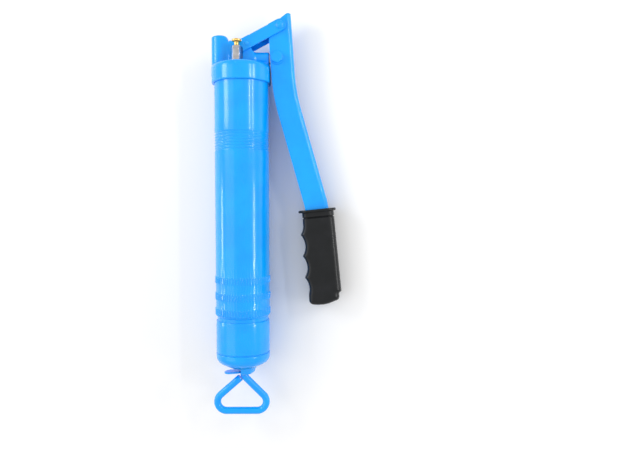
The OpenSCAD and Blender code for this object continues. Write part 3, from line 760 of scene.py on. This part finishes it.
def channel_section():
    """Paired outer and inner points of the lever's U section, as (across, y)."""
    round_out, round_in = 4.6, 2.6
    flat = np.linspace(-LEVER_HALF, LEVER_HALF - round_out, 11)[:-1]
    outer = [(d, -LEVER_SPAN) for d in flat]
    outer += arc((LEVER_HALF - round_out, -LEVER_SPAN + round_out), round_out, -90, 0, 10)
    inner = [(d, -LEVER_SPAN + SHEET) for d in flat]
    inner += arc((LEVER_HALF - round_out, -LEVER_SPAN + round_out), round_in, -90, 0, 10)

    def mirrored(side):
        return np.array(side + [(d, -y) for d, y in side[::-1]])

    return mirrored(outer), mirrored(inner)


def make_lever():
    """Pressed channel lever with a rounded spine and a slanted upper end."""
    dense, centre, across = lever_centre()
    outer, inner = channel_section()
    section = np.concatenate([outer, inner[::-1]])
    trim_x, trim_z = np.array(LEVER_TRIM).T
    share = np.concatenate([np.linspace(0, 0.25, 30), np.linspace(0.25, 1, 110)[1:]])
    columns = []
    for offset, y in section:
        edge = centre + offset * across
        below = edge[:, 1] < np.interp(edge[:, 0], trim_x, trim_z)
        first = dense[np.argmax(below)]
        way = first + share * (dense[-1] - first)
        x, z = (np.interp(way, dense, edge[:, i]) for i in (0, 1))
        columns.append(np.stack([x, np.full(len(way), y), z], axis=1))
    points = np.stack(columns, axis=1)
    rows, count = points.shape[:2]
    faces = grid_faces(rows, count).tolist()
    for row in (0, rows - 1):
        base = row * count
        for i in range(len(outer) - 1):
            faces.append([base + i, base + i + 1, base + count - 2 - i, base + count - 1 - i])
    add_piece("lever_channel", points.reshape(-1, 3), faces, "lever", "paint", ["lever"], bevel=0.45)


def on_pivot(points, side):
    """Points drawn about Z, turned so that Z runs along the lever's bolt: side -1 is the top face."""
    return aimed(points, BOLT_C, (0, side, 0))


def make_pivot_bolt():
    """Hexagon bolt with a dished head, from the top face through the lever."""
    seat, head, shank_r = LEVER_SPAN + WASHER, 3.8, 3.5
    cap_r, dish_r = 5.75, 10.0

    def field(a, b, c):
        out = np.hypot(a, b)
        hexa = soft_max(hexagon(a, b, HEX_FLATS), np.abs(c - seat - head / 2) - head / 2, 0.3)
        cap = out - cap_r + (c - seat - head) * 1.6 + 0.55
        hexa = soft_max(hexa, cap, 0.8)
        dish = np.hypot(out, c - seat - head - 9.5) - dish_r
        hexa = soft_max(hexa, -dish, 0.6)
        shank = soft_max(out - shank_r, np.abs(c + 2.8) - seat - 2.8, 0.5)
        return soft_min(hexa, shank, 0.2)

    low, high = (-7, -7, -15.5), (7, 7, 14)
    place = functools.partial(on_pivot, side=-1)
    add_carved("pivot_screw", field, low, high, 0.3, "lever", "paint", ["pivot_bolt"], place)


def make_pivot_nut():
    """Low hexagon nut on the far side."""
    seat, half, cone_r = LEVER_SPAN + WASHER, 1.4, 5.9

    def field(a, b, c):
        out = np.hypot(a, b)
        hexa = soft_max(hexagon(a, b, HEX_FLATS), np.abs(c - seat - half) - half, 0.25)
        hexa = soft_max(hexa, out - cone_r + (c - seat - 2 * half) * 1.2 + 0.35, 0.3)
        return np.maximum(hexa, BOLT_HOLE_R - out)

    low, high = (-7, -7, 8), (7, 7, 12.5)
    place = functools.partial(on_pivot, side=1)
    add_carved("pivot_lock_nut", field, low, high, 0.3, "lever", "paint", ["pivot_nut"], place)


def make_washers():
    """Washer on each side of the lever."""
    seat, washer_r = LEVER_SPAN + WASHER, 7.0
    profile = [(BOLT_HOLE_R, LEVER_SPAN), (washer_r - 0.1, LEVER_SPAN), (washer_r, LEVER_SPAN + 0.15)]
    profile += [(washer_r, seat - 0.35), (washer_r - 0.35, seat), (BOLT_HOLE_R, seat)]
    for name, side, covers in (("washer_near", -1, ["pivot_washers"]), ("washer_far", 1, [])):
        points, faces = lathe(profile, 64)
        add_piece(name, on_pivot(points, side), faces, "lever", "paint", covers)


# --------------------------------------------------------------------- grip


def grip_edge():
    """Side outline of the grip, as (across, down)."""
    radius = ((SCALLOP_PITCH / 2) ** 2 + SCALLOP_DEPTH**2) / (2 * SCALLOP_DEPTH)
    half = math.degrees(math.asin(SCALLOP_PITCH / 2 / radius))
    foot, step_in, step = 5.0, 2.6, 88.0
    toe_in, toe_up, heel_up = 1.9, 1.0, 2.5
    toe = (FINGER_U + toe_in + foot, GRIP_LEN - toe_up - foot)
    heel = (PALM_U - step_in - foot, GRIP_LEN - heel_up - foot)
    edge = [(PALM_U, -8), (-16.0, -8), (-16.0, 8.5)]
    for finger in range(4):
        middle = FIRST_PEAK + (finger - 0.5) * SCALLOP_PITCH
        centre = (FINGER_U + SCALLOP_DEPTH - radius, middle)
        edge += [point for point in arc(centre, radius, -half, half, 10) if 14 < point[1] < 89]
    edge += arc(toe, foot, 180, 98, 6) + [(-9, GRIP_LEN - 0.3), (-3, GRIP_LEN), (3, GRIP_LEN - 0.6)]
    edge += arc(heel, foot, 62, 0, 6)
    return edge + [(PALM_U - step_in, step + 2.4), (PALM_U - step_in + 0.5, step + 1.6), (PALM_U, step)]


def make_grip():
    """Moulded grip with finger scallops, a flange at its mouth and a socket for the lever."""
    side = outline(grip_edge())
    rim_x, rim_y, rim_r = 9.7, 5.0, 10.0
    groove_at, socket_end, rim_half = 8.3, 83.5, 1.35
    flange = outline(
        [
            point
            for sx, sy, turn in ((1, 1, 0), (-1, 1, 90), (-1, -1, 180), (1, -1, 270))
            for point in arc((sx * rim_x, sy * rim_y), rim_r, turn, turn + 90, 8)
        ]
    )

    def field(u, y, v):
        thick = GRIP_HALF_T - 0.5 * ramp(v, 20, 0)
        body = soft_max(side(u, v), np.abs(y) - thick, 4.6 + 1.6 * ramp(u, -6, 10))
        groove = np.maximum(np.abs(v - groove_at) - 0.55, -(body + 0.9))
        body = soft_max(body, -groove, 0.4)
        body = np.maximum(body, 0.8 - v)
        rim = soft_max(flange(u, y), np.abs(v - rim_half) - rim_half, 1.0)
        body = soft_min(body, rim, 0.9)
        socket = np.maximum(np.abs(u) - LEVER_HALF - 0.25, np.abs(y) - LEVER_SPAN - FIT)
        socket = np.maximum(socket, v - socket_end)
        return soft_max(body, -socket, 0.4)

    right = np.array([math.cos(GRIP_TILT), 0, math.sin(GRIP_TILT)])
    down = np.array([math.sin(GRIP_TILT), 0, -math.cos(GRIP_TILT)])
    axes = np.array([right, [0.0, 1.0, 0.0], down])

    def place(points):
        return GRIP_POS + points @ axes

    points, faces, normals = carve(field, (-23, -16.5, -1.5), (21, 16.5, GRIP_LEN + 1.5), 0.6)
    normals = normals @ axes
    add_piece("grip_moulding", place(points), faces[:, ::-1], "lever", "grip", ["grip"], normals)


# -------------------------------------------------------- barrel and end cap


def knurled(z):
    """One within the knurled bands and zero elsewhere, with soft ends."""
    share = 0.0
    for start in BAND_STARTS:
        end = start + BAND_HEIGHT
        share = share + ramp(z, start - 0.5, start + 0.4) * (1 - ramp(z, end - 0.4, end + 0.5))
    return share


def make_barrel():
    """Rolled tube with ring grooves, knurled bands and a turned-in lower rim."""
    bore, neck_bore = BARREL_R - BARREL_WALL, NECK_R - BARREL_WALL
    heights = [BARREL_TOP, 2.0, -1.0, -25.0, -48.0]
    heights += np.linspace(RING_START + RING_COUNT * RING_PITCH + 0.8, RING_START - 0.8, 76).tolist()
    heights += [-90.0, -120.0, -150.0, -180.0]
    for start in BAND_STARTS[::-1]:
        heights += np.linspace(start + BAND_HEIGHT + 0.6, start - 0.6, 16).tolist()
    profile = [(BARREL_R, z) for z in sorted(set(heights), reverse=True)]
    profile += arc((BARREL_R - 3, BARREL_END + 3.6), 3, 0, -62, 8)
    profile += [(NECK_R, BARREL_END - 1.2), (NECK_R, NECK_END), (neck_bore, NECK_END)]
    profile += [(neck_bore, BARREL_END - 1), (bore, BARREL_END + 2.5), (bore, -120.0), (bore, BARREL_TOP)]

    def shape(angle, radius, z):
        outside = radius > BARREL_R - 0.01
        turn = (z - RING_START) / RING_PITCH
        ringed = outside & (turn > 0) & (turn < RING_COUNT)
        groove = RING_DEPTH * np.clip(1.4 * np.sin(np.pi * (turn % 1)) - 0.4, 0, 1)
        radius = np.where(ringed, radius - groove, radius)
        wave = 0.5 + 0.5 * np.cos(FLUTE_COUNT * angle)
        rib = np.clip((wave - (1 - FLUTE_SHARE) + 0.12) / 0.35, 0, 1)
        return np.where(outside, radius + FLUTE_HEIGHT * rib * knurled(z), radius)

    points, faces = lathe(profile, FLUTE_COUNT * 8, shape)
    add_piece("barrel_tube", points, faces, "head", "paint", ["barrel"], sharp=55)


def make_end_sleeve():
    """Sleeve that screws onto the barrel's neck, with a rounded shoulder and a soft waist."""
    shoulder, draw_in, lip = 5.0, 0.9, 0.9
    profile = [(NECK_R + 0.02, SLEEVE_TOP - 0.2), (NECK_R + 0.25, SLEEVE_TOP)]
    for turn in np.linspace(0, math.pi / 2, 10):
        radius = SLEEVE_R - draw_in + draw_in * math.sin(turn)
        profile.append((radius, SLEEVE_TOP - shoulder * (1 - math.cos(turn))))
    profile += [(SLEEVE_R, SLEEVE_TOP - 12), (SLEEVE_R, SLEEVE_END + 8)]
    profile += arc((SLEEVE_R - lip, SLEEVE_END + lip), lip, 0, -90, 5)
    profile += [(NECK_R + 0.02, SLEEVE_END)]
    points, faces = lathe(profile, 256)
    add_piece("end_sleeve_pressing", points, faces, "head", "paint", ["end_sleeve"], sharp=50)


def dome_profile():
    """Closed profile of the dome, with its inner skin."""
    lip, wall, spigot, hole_r = 1.0, 1.6, 11.0, 6.0
    corner = (DOME_R - DOME_ROUND, DOME_TOP - DOME_SIDE)
    tangent = (corner[0] + DOME_ROUND * math.sin(DOME_SLOPE), corner[1] - DOME_ROUND * math.cos(DOME_SLOPE))
    base_z = tangent[1] - (tangent[0] - DOME_BASE_R) * math.tan(DOME_SLOPE)
    turn = math.degrees(DOME_SLOPE) - 90
    profile = [(NECK_R - 1.5, SLEEVE_END + spigot), (NECK_R, SLEEVE_END + spigot)]
    profile += [(NECK_R, SLEEVE_END), (DOME_R - lip, SLEEVE_END), (DOME_R - lip, DOME_TOP)]
    profile += arc((DOME_R - lip, DOME_TOP - lip), lip, 90, 0, 5)
    profile += arc(corner, DOME_ROUND, 0, turn, 18)
    profile += [(DOME_BASE_R, base_z), (hole_r, base_z)]
    profile += [(hole_r, base_z + wall), (DOME_BASE_R, base_z + wall + 0.2)]
    profile += arc(corner, DOME_ROUND - wall, turn, 0, 12)
    return profile + [(NECK_R - 1.5, DOME_TOP)], base_z


def make_end_dome():
    """Domed bottom of the end cap."""
    points, faces = lathe(dome_profile()[0], 256)
    add_piece("end_dome_pressing", points, faces, "head", "paint", ["end_dome"], sharp=50)


# ------------------------------------------------------- rod, handle and lock


def handle_path():
    """Centre line of the pull rod, from its upper end round the handle to the cut end, in X and Z."""
    left = np.array([HANDLE_SHIFT - HANDLE_HALF + ROD_R + HANDLE_BEND, HANDLE_BOTTOM + HANDLE_BEND])
    right = np.array([HANDLE_SHIFT + HANDLE_HALF - ROD_R - HANDLE_BEND, HANDLE_BOTTOM + HANDLE_BEND])
    rise = HANDLE_BEND + KNEE_BEND - (KNEE_BEND - right[0]) * math.sin(RIGHT_SLOPE)
    knee = (KNEE_BEND, right[1] + rise / math.cos(RIGHT_SLOPE))
    ring = ROD_TOP - 17.4
    heights = [ROD_TOP, ROD_TOP - 0.6, ring + 1.7, ring + 1.6, ring + 0.2, ring, ring - 0.1]
    path = [(0, z) for z in heights] + [(0, z) for z in np.linspace(ring - 10, knee[1] + 4, 40)]
    path += arc(knee, KNEE_BEND, 180, 180 + math.degrees(RIGHT_SLOPE), 12)
    path += arc(right, HANDLE_BEND, 90 - math.degrees(RIGHT_SLOPE), -90, 24)
    path += [(x, HANDLE_BOTTOM) for x in np.linspace(right[0], left[0], 8)[1:-1]]
    path += arc(left, HANDLE_BEND, 270, 90 + math.degrees(LEFT_SLOPE), 24)
    leg = np.array([math.cos(LEFT_SLOPE), math.sin(LEFT_SLOPE)])
    bend_end = np.array(path[-1])
    path += [tuple(bend_end + leg * way) for way in (4, 12, 20, LEG_LENGTH - 0.6, LEG_LENGTH)]
    radius = np.full(len(path), ROD_R)
    radius[0] = radius[-1] = ROD_R - 0.5
    radius[3:5] = ROD_R + 1.7
    radius[2] = radius[5] = ROD_R + 1.5
    radius[1] = ROD_R
    return np.array(path), radius


def make_pull_rod():
    """Round rod bent into a three-cornered handle, its cut end left beside the rod."""
    path, radius = handle_path()
    sides = 48
    heading = np.gradient(path, axis=0)
    heading /= np.linalg.norm(heading, axis=1)[:, None]
    across = np.stack([-heading[:, 1], heading[:, 0]], axis=1)
    angle = np.linspace(0, 2 * np.pi, sides, endpoint=False)
    reach = radius[:, None] * np.cos(angle)
    deep = radius[:, None] * np.sin(angle)
    x = path[:, :1] + reach * across[:, :1]
    z = path[:, 1:] + reach * across[:, 1:]
    points = np.stack([x, deep, z], axis=2).reshape(-1, 3)
    faces = grid_faces(len(path), sides).tolist()
    faces.append(list(range(sides)))
    faces.append(list(range(len(points) - sides, len(points))))
    add_piece("pull_handle_rod", points, faces, "pull_rod", "paint", ["pull_rod"], sharp=50)


def add_spring(node, turns, wire, fixed_end):
    """Round-wire coil in place of a CAD spring, filling the CAD spring's length at rest."""
    low, high = node_box(node)
    centre = (low + high) / 2
    mean_r = (high[0] - low[0]) / 2 - wire
    steps, sides = int(turns * 32), 10
    share = np.linspace(0, 1, steps + 1)[:, None]
    angle = 2 * np.pi * turns * share
    around = np.linspace(0, 2 * np.pi, sides, endpoint=False)[None, :]
    reach = mean_r + wire * np.cos(around)
    height = low[2] + wire + (high[2] - low[2] - 2 * wire) * share + wire * np.sin(around)
    x = centre[0] + reach * np.cos(angle)
    points = np.stack([x, reach * np.sin(angle), height], axis=2).reshape(-1, 3)
    faces = grid_faces(steps + 1, sides).tolist()
    faces.append(list(range(sides)))
    faces.append(list(range(len(points) - sides, len(points))))
    spring = add_piece(node + "_coil", points, faces, "head", "steel", [node])
    anchor = to_frame((centre[0], 0, low[2] if fixed_end == "low" else high[2]))
    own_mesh(spring)


def make_springs():
    """The long follower spring and the small spring on the check ball."""
    add_spring("follower_spring", turns=15, wire=1.1, fixed_end="low")
    add_spring("check_spring", turns=2.5, wire=0.25, fixed_end="high")


def make_lock_housing():
    """Small pressed dish under the dome, open where the lock's tab comes out."""
    base_z = dome_profile()[1]
    height = base_z - HOUSING_END
    foot_r, round_r, wall, mouth = 7.0, 6.0, 1.0, -1.5
    above = height + 4
    dish = outline(
        [(-20, above), (-20, 0)]
        + arc((foot_r, round_r), round_r, -90, -10, 14)
        + [(DOME_BASE_R, height), (DOME_BASE_R + 1.5, above)]
    )

    def field(x, y, z):
        out = np.hypot(x, y)
        outer = dish(out, z - HOUSING_END)
        shell = np.maximum(np.maximum(outer, z - base_z - 0.3), -(outer + wall))
        opening = np.maximum(x - mouth, z - base_z + 0.3)
        hole = ROD_R + 0.4 - out
        return soft_max(soft_max(shell, -opening, 0.3), hole, 0.3)

    low, high = (-16.5, -16.5, HOUSING_END - 0.8), (16.5, 16.5, base_z + 1.2)
    add_carved("lock_cover", field, low, high, 0.32, "head", "paint", ["lock_housing"])


def make_lock_plate():
    """Tilting lock plate with a rounded thumb tab."""
    tilt = math.radians(4)
    tab_x, tab_half, thick = -20.5, 6.5, 0.9
    shape = outline(
        arc((tab_x + tab_half, 0), tab_half, 90, 270, 20)
        + [(-3.5, -tab_half), (-2.0, -5.0), (LOCK[0], -5.0), (LOCK[0], 5.0), (-2.0, 5.0), (-3.5, tab_half)]
    )

    def field(x, y, h):
        plate = soft_max(shape(x, y), np.abs(h) - thick, 0.7)
        return soft_max(plate, ROD_R + 0.3 - np.hypot(x, y), 0.3)

    def place(points):
        dx, dz = points[:, 0] - LOCK[0], points[:, 2]
        x = LOCK[0] + dx * math.cos(tilt) - dz * math.sin(tilt)
        z = LOCK[2] + dx * math.sin(tilt) + dz * math.cos(tilt)
        return np.stack([x, points[:, 1], z], axis=1)

    low, high = (-25, -8, -5), (7, 8, 2)
    add_carved("lock_tab", field, low, high, 0.32, "lock_plate", "paint", ["lock_plate"], place)


# ---------------------------------------------------------------- the scene


def dress_inner_parts():
    """The parts inside keep their CAD shape and take a finish."""
    finishes = {
        "steel": ("check_ball", "spring_stop", "plunger", "gland_ring", "rod_bush",
                  "follower_plates", "follower_nut", "lock_spring"),
        "seal": ("plunger_seal", "head_gasket", "follower_cup"),
    }
    for finish, names in finishes.items():
        for name in names:
            node = frame["nodes"][name]
            if not node.material_slots:
                node.data.materials.append(FINISHES[finish])
            for slot in node.material_slots:
                slot.material = FINISHES[finish]


def make_floor():
    """Large pale floor under the gun."""
    half, rows = 3.0, 9
    line = np.linspace(-half, half, rows)
    x, y = np.meshgrid(line, line, indexing="ij")
    points = np.stack([x, y, np.zeros_like(x)], axis=2).reshape(-1, 3)
    faces = grid_faces(rows, rows, wrap_columns=False)
    mesh = bpy.data.meshes.new("floor")
    mesh.from_pydata(points.tolist(), [], faces.tolist())
    floor = bpy.data.objects.new("floor", mesh)
    mesh.materials.append(make_floor_finish())
    bpy.context.scene.collection.objects.link(floor)


def add_softbox(name, lean, distance, width, length, power, along=0.0):
    """Soft light at an angle from the vertical towards the lever, aimed at the barrel."""
    data = bpy.data.lights.new(name, "AREA")
    data.shape = "RECTANGLE"
    data.size, data.size_y = width, length
    data.energy = power
    light = bpy.data.objects.new(name, data)
    turn = math.radians(lean)
    target = Vector(ORIGIN) + Vector((0, -0.13 + along, 0))
    away = Vector((math.sin(turn), 0, math.cos(turn)))
    across = Vector((math.cos(turn), 0, -math.sin(turn)))
    turned = Matrix((across, Vector((0, 1, 0)), away)).transposed().to_4x4()
    light.matrix_world = Matrix.Translation(target + away * distance) @ turned
    bpy.context.scene.collection.objects.link(light)


def make_lights():
    """Pale surroundings, streaks for the barrel and the grip from both sides, and a broad fill."""
    world = bpy.data.worlds.new("studio")
    world.use_nodes = True
    background = world.node_tree.nodes["Background"]
    background.inputs["Color"].default_value = (1.0, 1.0, 1.0, 1.0)
    background.inputs["Strength"].default_value = 0.76
    bpy.context.scene.world = world
    add_softbox("left_box", lean=-50, distance=0.9, width=0.3, length=0.42, power=2.6, along=0.42)
    add_softbox("right_strip", lean=50, distance=1.0, width=0.03, length=0.42, power=1.5, along=0.42)
    add_softbox("far_strip", lean=64, distance=1.0, width=0.03, length=0.42, power=1.5, along=0.42)
    add_softbox("grip_strip", lean=66, distance=0.8, width=0.05, length=0.3, power=1.1, along=-0.1)
    add_softbox("finger_strip", lean=-76, distance=0.8, width=0.06, length=0.3, power=0.9, along=-0.1)
    add_softbox("top_box", lean=-38, distance=2.4, width=1.8, length=2.2, power=11, along=-0.2)


def make_camera():
    """Camera above the gun's face, at the photograph's viewing angle."""
    # Place and directions in gun axes
    spot = (71.53, -597.58, -130.33)
    right = np.array([0.9999945, -0.0000988, -0.0033298])
    upward = np.array([0.0033313, 0.0296635, 0.9995544])
    data = bpy.data.cameras.new("camera")
    data.lens = 32.729
    data.sensor_width = 36
    data.clip_start, data.clip_end = 0.01, 50
    camera = bpy.data.objects.new("camera", data)
    back = np.cross(right, upward)
    axes = [vector @ AXES for vector in (right, upward, back)]
    rows = [[axes[c][r] for c in range(3)] + [to_frame(spot)[r]] for r in range(3)]
    camera.matrix_world = Matrix(rows + [[0, 0, 0, 1]])
    bpy.context.scene.collection.objects.link(camera)
    bpy.context.scene.camera = camera


make_camera()
make_lights()
make_floor()
make_head()
make_outlet_thread()
make_bleeder_body()
make_bleeder_tip()
make_link()
make_rivets()
make_lever()
make_pivot_bolt()
make_pivot_nut()
make_washers()
make_grip()
make_barrel()
make_end_sleeve()
make_end_dome()
make_pull_rod()
make_springs()
make_lock_housing()
make_lock_plate()
dress_inner_parts()

bpy.context.scene.view_settings.view_transform = "Standard"
